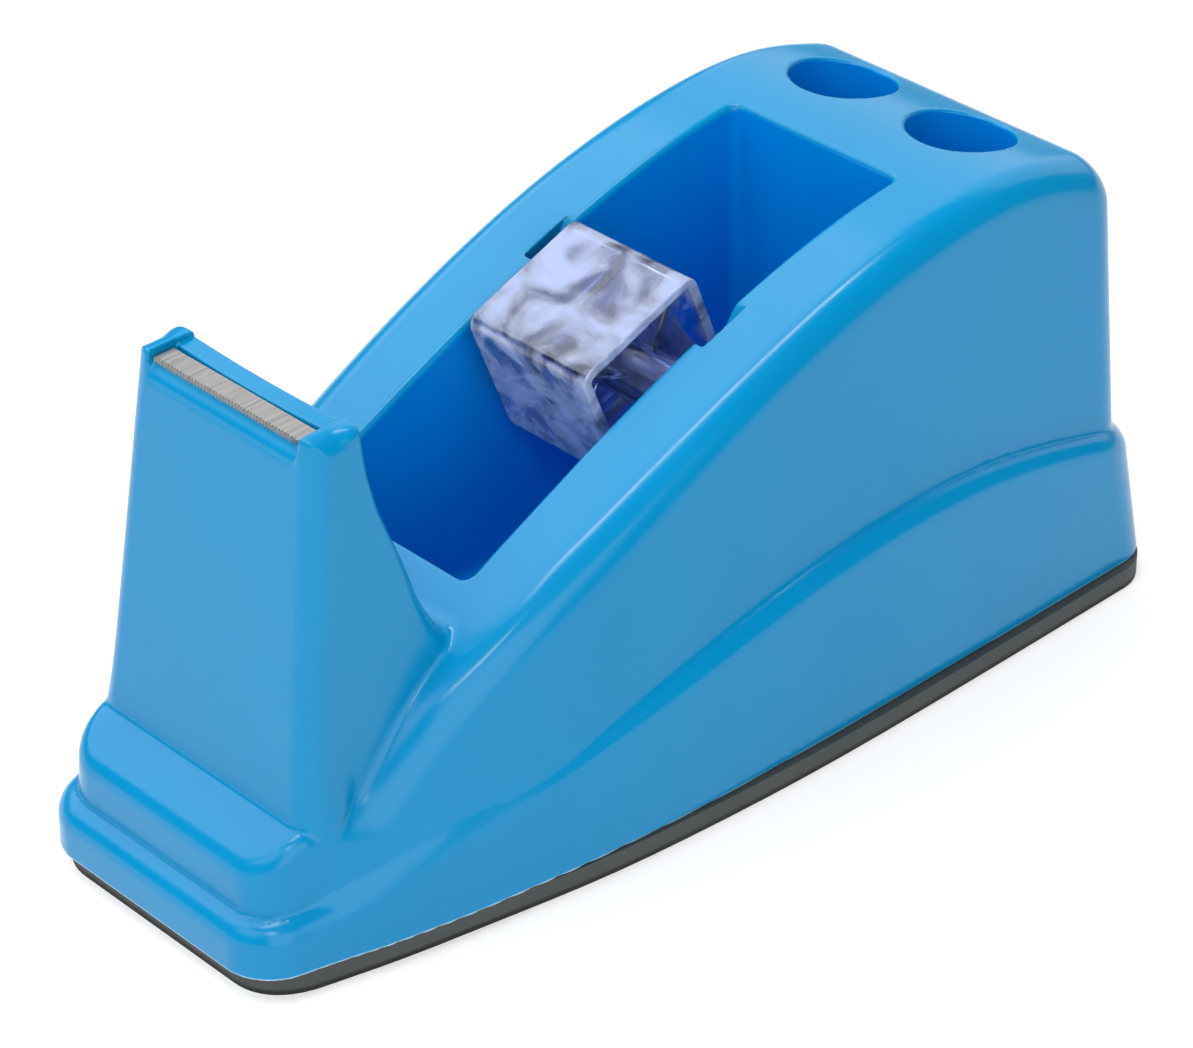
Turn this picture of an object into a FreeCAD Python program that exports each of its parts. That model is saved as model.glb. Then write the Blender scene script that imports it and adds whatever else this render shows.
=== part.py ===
# Desk tape dispenser with two pen holes: one-piece moulded body on an anti-slip pad,
# toothed cutter strip, clear square hub spinning on a pin that drops into slanted grooves,
# steel ballast held in by a screwed bottom plate.
# All dimensions in millimetres.
# Working coordinates: x = width (symmetric about 0), y = 0 at the front edge of the body,
# z = 0 at the lower edge of the body. Every finished piece is moved once, at export, so
# that the origin is the centre of the footprint on the surface the dispenser stands on.
import FreeCAD, Part
import os, math

os.makedirs("parts", exist_ok=True)
V = FreeCAD.Vector

# ---------------------------------------------------------------- driving dimensions
BODY_LEN = 140.3          # overall length of the moulded body
WALL = 2.2                # general wall thickness of the moulding
SIDE_DRAFT = 0.09         # inward lean of the upper side walls, mm per mm of height
REAR_DRAFT = 0.01         # same for the upper rear wall
SKIRT_DRAFT = 0.035       # same for the sides of the skirt band round the foot
SKIRT_REAR_DRAFT = 0.06   # and for its rear
SKIRT_REAR_R = 5.4        # rear corner radius of the skirt at the foot, growing upwards
SKIRT_REAR_R_GROW = 0.20
RIM_FILLET = 3.8          # rounding of the outer edge of the rim
SKIRT_FILLET = 2.1        # rounding of the skirt's top edge

PAD_T = 2.8               # anti-slip pad thickness
PAD_PROUD = 1.1           # how far the pad stands out from the sides towards the rear
PAD_FRONT_Y = 1.3         # the pad starts a little behind the front edge
PAD_REAR_OUT = 0.2
PLATE_T = 2.0             # bottom plate thickness
PLATE_GAP = 0.2           # plate to wall

WELL_HALF = 13.5          # half width of the tape well
WELL_FRONT = 38.1         # y of the well's front edge
WELL_REAR = 108.3         # y of the well's rear wall
WELL_FLOOR = 10.7         # z of the well's floor
WELL_FRONT_R = 24.2       # radius of the curved front of the floor
WELL_CORNER_R = 1.5

AXLE_Y, AXLE_Z = 72.2, 44.2    # resting place of the hub pin
AXLE_R = 2.00             # pin radius
GROOVE_R = 2.07           # closed end of the groove
GROOVE_DEPTH = 1.65        # how far each groove is let into the side wall
GROOVE_ANGLE = 54.8       # slope of the groove, rising to the rear
AXLE_HALF = 14.8          # half length of the pin

HUB_SIDE = 19.5           # across the flats of the square hub
HUB_CORNER_R = 1.9
HUB_HALF = 9.8           # half length of the hub's square sleeve
HUB_WALL = 1.3
HUB_BOSS_R = 3.5          # central tube
HUB_BOSS_HALF = 12.9      # tube runs past the sleeve and keeps the hub centred in the well
HUB_BORE_R = 2.06
HUB_TILT = 21.0           # rotation of the hub at rest
HUB_WEB_T = 1.5

PEN_X, PEN_Y = 9.9, 123.8     # pen hole centres
PEN_R = 6.9
PEN_FLOOR = 8.4
PEN_WALL = 1.8

TOWER_TOP_HALF, TOWER_TOP_Z = 15.6, 63.0
TOWER_BASE_HALF, TOWER_BASE_Z = 18.1, 16.6
TOWER_FRONT_TOP_Y, TOWER_FRONT_BASE_Y = 15.7, 8.85
TOWER_FRONT_R = 2.9       # rounding of the tower's front edges
BAR_Z = 61.9              # top of the bar behind the blade

BLADE_T = 0.6
BLADE_HALF = 12.5
BLADE_SEAT_Z = 61.3       # floor of the blade's seat
BLADE_REAR = 19.0         # y of the blade's folded rear edge
SEAT_REAR = 19.7          # rear end of the seat, leaving a slot behind the blade
TOOTH_PITCH = 0.52
TOOTH_DEPTH = 0.42

# ---------------------------------------------------------------- curves of the body
# rim height above the body's lower edge, by y
def rim_z(y):
    t = (y - 65.1) / 46.5
    return 47.183 + 19.817 * t - 4.918 * t * t - 2.706 * t ** 3

COLLAR_Y, COLLAR_Z = 8.7, 16.6      # top of the collar slope, at the foot of the tower
COLLAR_SLOPE = 0.62
COLLAR_FRONT = 2.3                  # y of the collar's upright front face
RIM_FRONT = [(COLLAR_Y, COLLAR_Z), (13.02, 16.833), (16.275, 17.949), (19.344, 20.367), (22.32, 23.157), (25.761, 26.412),
             (29.574, 29.202), (33.48, 31.806)]
RIM_CURVE = RIM_FRONT + [(y, rim_z(y)) for y in (38.13, 44.64, 55.8, 65.1, 74.4, 83.7, 93, 102.3)] + [
    (109.74, 59.3), (117.18, 59.4), (124.62, 58.4), (132.06, 56.4), (145.08, 51.8)]
# height of the skirt's top edge, by y
SKIRT_CURVE = [(-5.58, 6.417), (3.72, 6.51), (10.23, 7.347), (17.67, 9.3), (25.482, 11.532), (38.13, 14.508), (45.57, 16.368), (57.66, 19.251),
               (69.75, 21.948), (80.91, 23.808), (95.79, 24.924), (107.88, 24.459), (118.11, 22.878), (130.2, 19.902), (145.08, 15.438)]
# half width at the foot (skirt) and of the upper walls carried down to z = 0
SKIRT_SIDE = [(21.483, 7.998), (23.715, 16.275), (25.947, 27.528), (28.737, 43.896), (30.225, 59.055),
              (31.155, 79.98), (31.481, 102.3), (31.574, 131.595)]
UPPER_SIDE = [(20.088, 9.3), (21.762, 16.275), (24.459, 25.575), (26.691, 34.875), (28.179, 44.175), (29.388, 58.59),
              (30.039, 76.26), (30.411, 100.44), (30.411, 128.805)]


def bez(p0, p1, p2, p3):
    c = Part.BezierCurve()
    c.setPoles([V(*p0), V(*p1), V(*p2), V(*p3)])
    return c.toShape()


def outline(side, z, inset, front_y, rear_y, front_x, rear_r):
    """Closed plan outline at height z: front line, rounded corners, curved sides, rear line."""
    pts = [(x - inset, y) for x, y in side]
    pts[-1] = (pts[-1][0], rear_y - rear_r)
    # end directions of the side curve
    a0 = math.atan2(pts[1][1] - pts[0][1], pts[1][0] - pts[0][0])
    t0 = (math.cos(a0), math.sin(a0))
    k = 0.55
    xr = pts[-1][0] - rear_r
    edges = []

    def side_edge(s):
        c = Part.BSplineCurve()
        ps = [V(s * x, y, z) for x, y in pts]
        ta = V(s * t0[0], t0[1], 0) * 8
        tb = V(0, 1, 0) * 20
        c.interpolate(Points=ps, InitialTangent=ta, FinalTangent=tb)
        return c.toShape()

    def front_corner(s):
        ex, ey = pts[0]
        h = 0.55 * math.hypot(ex - front_x, ey - front_y) * 0.72
        return bez((s * front_x, front_y, z), (s * (front_x + h), front_y, z),
                   (s * (ex - h * t0[0]), ey - h * t0[1], z), (s * ex, ey, z))

    def rear_corner(s):
        ex, ey = pts[-1]
        r = rear_y - ey
        return bez((s * ex, ey, z), (s * ex, ey + k * r, z),
                   (s * (xr + (ex - xr) * (1 - k)), rear_y, z), (s * xr, rear_y, z))

    edges.append(Part.makeLine(V(-front_x, front_y, z), V(front_x, front_y, z)))
    edges.append(front_corner(1))
    edges.append(side_edge(1))
    edges.append(rear_corner(1))
    edges.append(Part.makeLine(V(xr, rear_y, z), V(-xr, rear_y, z)))
    edges.append(rear_corner(-1))
    edges.append(side_edge(-1))
    edges.append(front_corner(-1))
    return Part.Wire(Part.__sortEdges__(edges))


def prism_between(w0, w1):
    return Part.makeLoft([w0, w1], True, True)


def under_curve(points, drop=0.0, half=60.0, z_low=-30.0):
    """Solid of everything below a curve in the y-z plane, extended across the width."""
    c = Part.BSplineCurve()
    ps = [V(-half, y, z - drop) for y, z in points]
    c.interpolate(Points=ps)
    e = c.toShape()
    a, b = ps[0], ps[-1]
    f = Part.Face(Part.Wire([e, Part.makeLine(b, V(-half, b.y, z_low)),
                             Part.makeLine(V(-half, b.y, z_low), V(-half, a.y, z_low)),
                             Part.makeLine(V(-half, a.y, z_low), a)]))
    return f.extrude(V(2 * half, 0, 0))


def poly_prism_x(points, x0, x1):
    """Prism along x of a closed y-z polygon."""
    w = Part.makePolygon([V(x0, y, z) for y, z in points] + [V(x0, points[0][0], points[0][1])])
    return Part.Face(w).extrude(V(x1 - x0, 0, 0))


def box(x0, x1, y0, y1, z0, z1):
    return Part.makeBox(x1 - x0, y1 - y0, z1 - z0, V(x0, y0, z0))


def cyl(x, y, z, r, h, d=V(0, 0, 1)):
    return Part.makeCylinder(r, h, V(x, y, z), d)


def try_fillet(shape, radius, edges, tag):
    for r in (radius, radius * 0.8, radius * 0.6, radius * 0.4):
        try:
            s = shape.makeFillet(r, edges)
            if s.isValid() and s.Volume > 0 and abs(s.Volume - shape.Volume) < 0.2 * shape.Volume:
                print("fillet", tag, "r=%.2f" % r)
                return s
        except Exception as ex:
            pass
    print("fillet", tag, "left sharp")
    return shape


# ---------------------------------------------------------------- body, outside
def upper_walls(inset, top=78.0):
    """Drafted walls of the upper body, moved inwards by inset."""
    def w(z):
        i = inset + SIDE_DRAFT * z
        return outline(UPPER_SIDE, z, i, COLLAR_FRONT + inset, 137.3 - REAR_DRAFT * z - inset,
                       max(2.0, 10.2 - i * 0.6), max(2.5, 7.4 - inset))
    return prism_between(w(0.0), w(top))


def rim_below(drop):
    """Everything below the rim surface, lowered by drop."""
    y0, z0 = COLLAR_Y, COLLAR_Z - drop
    collar_cut = poly_prism_x([(y0 - 30, z0 - 30 * COLLAR_SLOPE), (y0, z0), (y0, 90), (y0 - 30, 90)], -60, 60)
    s = under_curve(RIM_CURVE, drop)
    return s.fuse(box(-60, 60, -20, y0, -30, z0)).cut(collar_cut).removeSplitter()


def skirt_walls(inset, top=40.0):
    def w(z):
        i = inset + SKIRT_DRAFT * z
        return outline(SKIRT_SIDE, z, i, inset, BODY_LEN - inset - SKIRT_REAR_DRAFT * z, max(2.0, 13.6 - i),
                       max(2.5, SKIRT_REAR_R + SKIRT_REAR_R_GROW * z - inset))
    return prism_between(w(0.0), w(top))



upper = upper_walls(0.0).common(rim_below(0.0))
loop = [e for e in upper.Edges if e.BoundBox.YMax > 60 and e.BoundBox.ZMin > 12
        and not (e.BoundBox.ZLength > 30 and e.BoundBox.YLength < 8)]
upper = try_fillet(upper, RIM_FILLET, loop, "rim")
nose = [e for e in upper.Edges if e.BoundBox.YMax < COLLAR_Y + 0.05 and e.BoundBox.ZMin > 10 and e.BoundBox.ZMax < COLLAR_Z - 0.01]
upper = try_fillet(upper, 1.7, nose, "collar")

skirt = skirt_walls(0.0).common(under_curve(SKIRT_CURVE))
loop = [e for e in skirt.Edges if e.BoundBox.ZMin > 4 and e.BoundBox.ZMax < 39
        and not (e.BoundBox.ZLength > 5 and e.BoundBox.YLength < 1.0 and e.BoundBox.XLength < 1.0)]
skirt = try_fillet(skirt, SKIRT_FILLET, loop, "skirt")
outer = upper.fuse(skirt)
print("outer", outer.isValid(), len(outer.Solids), outer.ShapeType)

# cutter tower: side profile (leaning front, hollowed back) narrowed towards the top
dz = TOWER_TOP_Z - TOWER_BASE_Z
lean = (TOWER_FRONT_TOP_Y - TOWER_FRONT_BASE_Y) / dz
yb = TOWER_FRONT_BASE_Y - lean * (TOWER_BASE_Z - 9.3)
back = Part.BSplineCurve()
back.interpolate(Points=[V(-30, y, z) for y, z in ((22.2, TOWER_TOP_Z), (22.45, 60.5), (22.6, 58.2), (22.95, 55.7), (23.9, 51.5), (25.05, 48.1),
                                                     (26.65, 43.6), (28.65, 38.0), (30.75, 33.9), (32.7, 31.3), (38.13, 27.5))])
back_e = back.toShape()
prof = Part.Face(Part.Wire(Part.__sortEdges__([
    Part.makeLine(V(-30, yb, 9.3), V(-30, TOWER_FRONT_TOP_Y, TOWER_TOP_Z)),
    Part.makeLine(V(-30, TOWER_FRONT_TOP_Y, TOWER_TOP_Z), V(-30, 22.2, TOWER_TOP_Z)),
    back_e,
    Part.makeLine(V(-30, 38.13, 27.5), V(-30, 38.13, 9.3)),
    Part.makeLine(V(-30, 38.13, 9.3), V(-30, yb, 9.3))])))
tower = prof.extrude(V(60, 0, 0))
slope = (TOWER_BASE_HALF - TOWER_TOP_HALF) / dz
wz = lambda z: TOWER_BASE_HALF - slope * (z - TOWER_BASE_Z)
front_view = Part.Face(Part.makePolygon([V(-wz(8.37), -5, 8.37), V(wz(8.37), -5, 8.37), V(wz(69.75), -5, 69.75),
                                         V(-wz(69.75), -5, 69.75), V(-wz(8.37), -5, 8.37)])).extrude(V(0, 60, 0))
tower = tower.common(front_view)
front_edges = [e for e in tower.Edges if e.BoundBox.ZLength > 40 and e.BoundBox.YMax < TOWER_FRONT_TOP_Y + 0.5]
tower = try_fillet(tower, TOWER_FRONT_R, front_edges, "tower front edges")
top_edges = [e for e in tower.Edges if e.BoundBox.ZMin > TOWER_TOP_Z - 0.1 and e.BoundBox.YMin > TOWER_FRONT_TOP_Y + 0.5]
tower = try_fillet(tower, 0.65, top_edges, "tower top")
# only the part of the tower inside the body's plan is kept
tower = tower.common(upper_walls(0.05))
outer = outer.fuse(tower)
print("outer + tower", outer.isValid(), len(outer.Solids), outer.ShapeType)

# ---------------------------------------------------------------- body, openings from above
well = box(-WELL_HALF, WELL_HALF, WELL_FRONT, WELL_REAR, WELL_FLOOR, 110)
well = try_fillet(well, WELL_CORNER_R, [e for e in well.Edges if e.BoundBox.ZLength > 50], "well corners")
# curved front of the floor, following a roll of tape
wedge = box(-WELL_HALF - 1, WELL_HALF + 1, WELL_FRONT - 1, WELL_FRONT + WELL_FRONT_R, WELL_FLOOR - 1, WELL_FLOOR + WELL_FRONT_R - 0.1)
wedge = wedge.cut(cyl(-40, WELL_FRONT + WELL_FRONT_R, WELL_FLOOR + WELL_FRONT_R, WELL_FRONT_R, 80, V(1, 0, 0)))
well_cut = well.cut(wedge)

pens = [cyl(s * PEN_X, PEN_Y, PEN_FLOOR, PEN_R, 90) for s in (-1, 1)]

ga = math.radians(GROOVE_ANGLE)
gdir = V(0, math.cos(ga), math.sin(ga))
gn = V(0, -math.sin(ga), math.cos(ga))


def groove(x0, x1, r, length):
    """Slot along the groove direction with a round closed end."""
    base = V(x0, AXLE_Y, AXLE_Z)
    c = Part.makeCylinder(r, x1 - x0, base, V(1, 0, 0))
    p = [base + gn * r, base - gn * r, base - gn * r + gdir * length, base + gn * r + gdir * length]
    slab = Part.Face(Part.makePolygon(p + [p[0]])).extrude(V(x1 - x0, 0, 0))
    return c.fuse(slab)


gx = WELL_HALF + GROOVE_DEPTH
grooves = [groove(-gx, -WELL_HALF + 0.5, GROOVE_R, 27.9), groove(WELL_HALF - 0.5, gx, GROOVE_R, 27.9)]

# ---------------------------------------------------------------- body, hollow underside
cav = upper_walls(WALL).common(rim_below(WALL + 0.3))
cav = cav.fuse(skirt_walls(WALL).common(under_curve(SKIRT_CURVE, WALL + 0.4)).common(box(-60, 60, 0, 150, 0, 16)))
cav = cav.common(box(-60, 60, -5, 160, -0.01, 100))
keep = [box(-WELL_HALF - WALL, WELL_HALF + WALL, WELL_FRONT - WALL, WELL_REAR + WALL, WELL_FLOOR - WALL, 100)]
# the well's shell follows the curved front of the floor
r_out = WELL_FRONT_R + WALL
cy, cz = WELL_FRONT + WELL_FRONT_R, WELL_FLOOR + WELL_FRONT_R
wedge2 = box(-WELL_HALF - WALL - 1, WELL_HALF + WALL + 1, WELL_FRONT - WALL - 1, cy, WELL_FLOOR - WALL - 1, cz)
wedge2 = wedge2.cut(cyl(-40, cy, cz, r_out, 80, V(1, 0, 0)))
keep[0] = keep[0].cut(wedge2)
keep += [cyl(s * PEN_X, PEN_Y, PEN_FLOOR - PEN_WALL, PEN_R + PEN_WALL, 100) for s in (-1, 1)]
# thickened strips of side wall behind the grooves
keep += [box(s * (gx + 1.0) - 1.5, s * (gx + 1.0) + 1.5, AXLE_Y - 6, AXLE_Y + 14, WELL_FLOOR, 100) for s in (-1, 1)]
# tower is hollow from below as well
tcav_prof = [(yb + 2.418 + lean * 2, 11.16), (TOWER_FRONT_TOP_Y + 2.418 - lean * 9, TOWER_TOP_Z - 8.835),
             (20.739, TOWER_TOP_Z - 8.835), (21.948, 50.22), (24.552, 41.85), (27.528, 35.34), (30.69, 29.76), (30.69, 11.16)]
tcav = poly_prism_x(tcav_prof, -40, 40)
fv = Part.Face(Part.makePolygon([V(-wz(8.37) + 2.232, -5, 8.37), V(wz(8.37) - 2.232, -5, 8.37), V(wz(69.75) - 2.232, -5, 69.75),
                                 V(-wz(69.75) + 2.232, -5, 69.75), V(-wz(8.37) + 2.232, -5, 8.37)])).extrude(V(0, 60, 0))
tcav = tcav.common(fv)
# screw posts and locating ribs
SCREWS = [(-11.6, 26.0), (11.6, 26.0), (-22.3, 119.0), (22.3, 119.0)]
POST_R, PILOT_R = 3.2, 1.15
posts = [cyl(x, y, PLATE_T, POST_R, 100) for x, y in SCREWS]
ribs = [box(-WELL_HALF - WALL, WELL_HALF + WALL, 30.9, 32.4, 10.8, 60),
        box(-1.0, 1.0, WELL_REAR, 150, 27.9, 100)]
ribs += [box(s * 20.5 - 7.4, s * 20.5 + 7.4, y, y + 1.5, 10.6, 100) for s in (-1, 1) for y in (55.8, 96.72)]
cavity = cav.fuse(tcav)
for k in keep + posts + ribs:
    cavity = cavity.cut(k)
body = outer.cut(cavity)
body = body.cut(well_cut)
for c in pens + grooves:
    body = body.cut(c)
for x, y in SCREWS:
    body = body.cut(cyl(x, y, PLATE_T - 0.5, PILOT_R, 9.5))

# ---------------------------------------------------------------- cutter seat on top of the tower
body = body.cut(box(-BLADE_HALF - 0.1, BLADE_HALF + 0.1, 9.0, SEAT_REAR, BLADE_SEAT_Z, 80))
body = body.cut(box(-BLADE_HALF - 0.1, BLADE_HALF + 0.1, SEAT_REAR - 1, 40.0, BAR_Z, 80))
# slot for the blade's folded tang, opened out behind the blade near the top
TANG_T, TANG_LEN, TANG_SHORT = BLADE_T, 5.6, 1.9
body = body.cut(box(-BLADE_HALF - 0.1, BLADE_HALF + 0.1, BLADE_REAR - TANG_T - 0.05, SEAT_REAR, BLADE_SEAT_Z - 1.5, BLADE_SEAT_Z + 1))
body = body.cut(box(-BLADE_HALF + TANG_SHORT - 0.1, BLADE_HALF - TANG_SHORT + 0.1, BLADE_REAR - TANG_T - 0.05, BLADE_REAR + 0.05,
                    BLADE_SEAT_Z - TANG_LEN - 0.3, BLADE_SEAT_Z + 1))
# relief under the teeth, so that they stand clear of the front face
yt = TOWER_FRONT_TOP_Y
RELIEF_H, RELIEF_DEPTH = 1.7, 1.0
body = body.cut(poly_prism_x([(yt - 3, BLADE_SEAT_Z + 0.01), (yt - 3, BLADE_SEAT_Z - RELIEF_H), (yt - 0.6, BLADE_SEAT_Z - RELIEF_H),
                              (yt + RELIEF_DEPTH, BLADE_SEAT_Z + 0.01)], -BLADE_HALF - 0.1, BLADE_HALF + 0.1))
print("body", body.isValid(), len(body.Solids), [round(s.Volume) for s in body.Solids], body.ShapeType)

# rounding of the well's rim and of the pen holes
def on_rim(e):
    c = e.CenterOfMass
    b = e.BoundBox
    return b.YMin > WELL_FRONT - 0.3 and b.YMax < WELL_REAR + 0.3 and abs(c.z - rim_z(c.y)) < 2.3 and abs(abs(c.x) - WELL_HALF) < 0.3 and b.YLength > 8


body = try_fillet(body, 0.9, [e for e in body.Edges if on_rim(e)], "well rim")


def on_pen_mouth(e):
    b = e.BoundBox
    return b.ZMin > 50 and b.XLength > 8 and abs(b.XLength - b.YLength) < 0.3 and abs(abs((b.XMin + b.XMax) / 2) - PEN_X) < 0.2 and abs((b.YMin + b.YMax) / 2 - PEN_Y) < 0.2


body = try_fillet(body, 0.5, [e for e in body.Edges if on_pen_mouth(e)], "pen hole mouths")


# ---------------------------------------------------------------- cutter blade
bz0, bz1 = BLADE_SEAT_Z, BLADE_SEAT_Z + BLADE_T
y_front = yt + 0.4
n_teeth = int(2 * BLADE_HALF / TOOTH_PITCH)
pitch = 2 * BLADE_HALF / n_teeth
pts = [V(-BLADE_HALF, BLADE_REAR, bz0)]
for i in range(n_teeth):
    x0 = -BLADE_HALF + i * pitch
    pts.append(V(x0, y_front + TOOTH_DEPTH, bz0))
    pts.append(V(x0 + pitch / 2, y_front, bz0))
pts.append(V(BLADE_HALF, y_front + TOOTH_DEPTH, bz0))
pts.append(V(BLADE_HALF, BLADE_REAR, bz0))
blade = Part.Face(Part.makePolygon(pts + [pts[0]])).extrude(V(0, 0, BLADE_T))
tang = box(-BLADE_HALF + TANG_SHORT, BLADE_HALF - TANG_SHORT, BLADE_REAR - TANG_T, BLADE_REAR, BLADE_SEAT_Z - TANG_LEN, bz1)
blade = blade.fuse(tang).removeSplitter()

# ---------------------------------------------------------------- clear hub
def rounded_square(side, r, x0, x1, tilt):
    b = box(x0, x1, -side / 2, side / 2, -side / 2, side / 2)
    if r > 0:
        b = b.makeFillet(r, [e for e in b.Edges if e.BoundBox.XLength > abs(x1 - x0) - 0.1])
    b.rotate(V(0, 0, 0), V(1, 0, 0), tilt)
    b.translate(V(0, AXLE_Y, AXLE_Z))
    return b


hub = rounded_square(HUB_SIDE, HUB_CORNER_R, -HUB_HALF, HUB_HALF, HUB_TILT)
inner = HUB_SIDE - 2 * HUB_WALL
for s in (-1, 1):
    x0, x1 = (HUB_WEB_T / 2, HUB_HALF + 1) if s > 0 else (-HUB_HALF - 1, -HUB_WEB_T / 2)
    hub = hub.cut(rounded_square(inner, max(0.5, HUB_CORNER_R - HUB_WALL), x0, x1, HUB_TILT))
hub = hub.fuse(cyl(-HUB_BOSS_HALF, AXLE_Y, AXLE_Z, HUB_BOSS_R, 2 * HUB_BOSS_HALF, V(1, 0, 0)))
# four ribs from the central tube to the corners, short of the open ends
for a in (45, 135, 225, 315):
    r = box(-HUB_HALF + 2.0, HUB_HALF - 2.0, HUB_BOSS_R - 0.4, (HUB_SIDE / 2) * 1.4142 - 2.4, -0.6, 0.6)
    r.rotate(V(0, 0, 0), V(1, 0, 0), a + HUB_TILT)
    r.translate(V(0, AXLE_Y, AXLE_Z))
    hub = hub.fuse(r)
hub = hub.cut(cyl(-20, AXLE_Y, AXLE_Z, HUB_BORE_R, 40, V(1, 0, 0))).removeSplitter()

# pin on which the hub spins, ends chamfered
axle = cyl(-AXLE_HALF, AXLE_Y, AXLE_Z, AXLE_R, 2 * AXLE_HALF, V(1, 0, 0))
axle = axle.makeChamfer(0.35, [e for e in axle.Edges if e.BoundBox.XLength < 0.01])

# ---------------------------------------------------------------- bottom plate, screws, ballast, pad
plate = skirt_walls(WALL + PLATE_GAP, 40.0).common(box(-60, 60, -5, 160, 0, PLATE_T))
HEAD_R, HEAD_H, SHANK_R = 2.5, 1.2, 1.1
for x, y in SCREWS:
    plate = plate.cut(cyl(x, y, -1, SHANK_R + 0.25, 10))
    plate = plate.cut(Part.makeCone(HEAD_R + 0.1, SHANK_R + 0.25, HEAD_H + 0.1, V(x, y, 0)))
screws = []
for x, y in SCREWS:
    s = Part.makeCone(HEAD_R, SHANK_R, HEAD_H, V(x, y, 0.1))
    s = s.fuse(cyl(x, y, 0.1 + HEAD_H, SHANK_R, 8.2 - HEAD_H))
    s = s.fuse(Part.makeCone(SHANK_R, 0.4, 1.2, V(x, y, 8.3))).removeSplitter()
    # cross recess
    for a in (0, 90):
        rb = Part.makeBox(2.6, 0.6, 0.7, V(-1.3, -0.3, 0.0))
        rb.rotate(V(0, 0, 0), V(0, 0, 1), a)
        rb.translate(V(x, y, 0.05))
        s = s.cut(rb)
    screws.append(s)
screw_set = Part.makeCompound(screws)

ballast = box(-23.5, 23.5, 41.0, 110.0, PLATE_T, WELL_FLOOR - WALL - 0.2)
ballast = ballast.makeChamfer(1.0, [e for e in ballast.Edges if e.BoundBox.ZLength > 3])

# the pad is a little short of the body at the front and stands out from it at the rear
PAD_SIDE = [(x - 0.3 + (PAD_PROUD + 0.3) * min(1.0, max(0.0, (y - 18.6) / 65.0)), y) for x, y in SKIRT_SIDE]
pad = outline(PAD_SIDE, 0.0, 0.0, PAD_FRONT_Y, BODY_LEN + PAD_REAR_OUT, 13.6, 7.1)
pad_solid = Part.Face(pad).extrude(V(0, 0, -PAD_T))


# ---------------------------------------------------------------- export
def place(shape):
    s = shape.copy()
    s.translate(V(0, -(BODY_LEN + PAD_REAR_OUT) / 2, PAD_T))
    return s


NODES = {
    "body_shell": body,
    "cutter_blade": blade,
    "hub_drum": hub,
    "hub_pin": axle,
    "ballast_block": ballast,
    "bottom_plate": plate,
    "bottom_screws": screw_set,
    "antislip_pad": pad_solid,
}
for name, shape in NODES.items():
    p = place(shape)
    if name != "bottom_screws" and len(p.Solids) == 1:
        p = p.Solids[0]
    b = p.BoundBox
    print("%-14s %s valid=%s solids=%d vol=%.0f  x %.1f..%.1f y %.1f..%.1f z %.1f..%.1f" % (
        name, p.ShapeType, p.isValid(), len(p.Solids), p.Volume, b.XMin, b.XMax, b.YMin, b.YMax, b.ZMin, b.ZMax))
    p.exportStep("parts/%s.step" % name)
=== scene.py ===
import math

import bmesh
import bpy
import numpy as np
from mathutils import Matrix, Vector


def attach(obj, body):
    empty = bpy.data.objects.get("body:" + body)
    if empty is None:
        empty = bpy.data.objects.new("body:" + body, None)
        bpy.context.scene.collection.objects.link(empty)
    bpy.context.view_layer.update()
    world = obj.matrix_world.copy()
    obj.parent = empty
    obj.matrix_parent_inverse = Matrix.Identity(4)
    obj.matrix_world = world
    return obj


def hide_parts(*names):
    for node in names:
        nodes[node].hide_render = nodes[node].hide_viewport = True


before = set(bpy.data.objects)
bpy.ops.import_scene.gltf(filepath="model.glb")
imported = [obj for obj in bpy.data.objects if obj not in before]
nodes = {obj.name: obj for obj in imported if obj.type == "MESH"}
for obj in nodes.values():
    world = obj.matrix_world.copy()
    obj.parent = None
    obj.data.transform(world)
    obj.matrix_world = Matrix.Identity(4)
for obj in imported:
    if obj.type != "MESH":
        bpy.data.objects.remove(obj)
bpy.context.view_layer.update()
scene = bpy.context.scene
scene.view_settings.view_transform = "Standard"

# ------------------------------------------------------------------ camera
CAM_AT = (0.30232, -0.28420, 0.29550)
CAM_AZ, CAM_EL, CAM_ROLL = math.radians(45.54), math.radians(33.27), math.radians(-0.10)
ca, sa, ce, se = math.cos(CAM_AZ), math.sin(CAM_AZ), math.cos(CAM_EL), math.sin(CAM_EL)
cam = bpy.data.cameras.new("camera")
cam.sensor_width = 36.0
cam.lens = 123.48
cam.shift_x, cam.shift_y = -0.0578, 0.0018
cam.clip_start, cam.clip_end = 0.01, 50.0
cam_ob = bpy.data.objects.new("camera", cam)
right = Vector((ca, sa, 0.0))
up = Vector((-se * sa, se * ca, ce))
back = Vector((sa * ce, -ca * ce, se))
turn = Matrix((right, up, back)).transposed() @ Matrix.Rotation(CAM_ROLL, 3, "Z")
cam_ob.matrix_world = Matrix.Translation(CAM_AT) @ turn.to_4x4()
scene.collection.objects.link(cam_ob)
scene.camera = cam_ob

# ------------------------------------------------------------------ light and floor
world = bpy.data.worlds.new("studio")
scene.world = world
world.use_nodes = True
world.node_tree.nodes["Background"].inputs["Color"].default_value = (1.0, 1.0, 1.0, 1.0)
world.node_tree.nodes["Background"].inputs["Strength"].default_value = 0.08


def panel(name, direction, distance, size, radiance, colour=(1.0, 1.0, 1.0)):
    """Soft square light that faces the object."""
    d = Vector(direction).normalized()
    li = bpy.data.lights.new(name, "AREA")
    li.shape = "RECTANGLE"
    li.size, li.size_y = size
    li.energy = radiance * math.pi * size[0] * size[1]
    li.color = colour
    ob = bpy.data.objects.new(name, li)
    ob.location = Vector((0.0, 0.0, 0.03)) + d * distance
    ob.rotation_euler = d.to_track_quat("Z", "Y").to_euler()
    scene.collection.objects.link(ob)
    return ob


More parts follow.
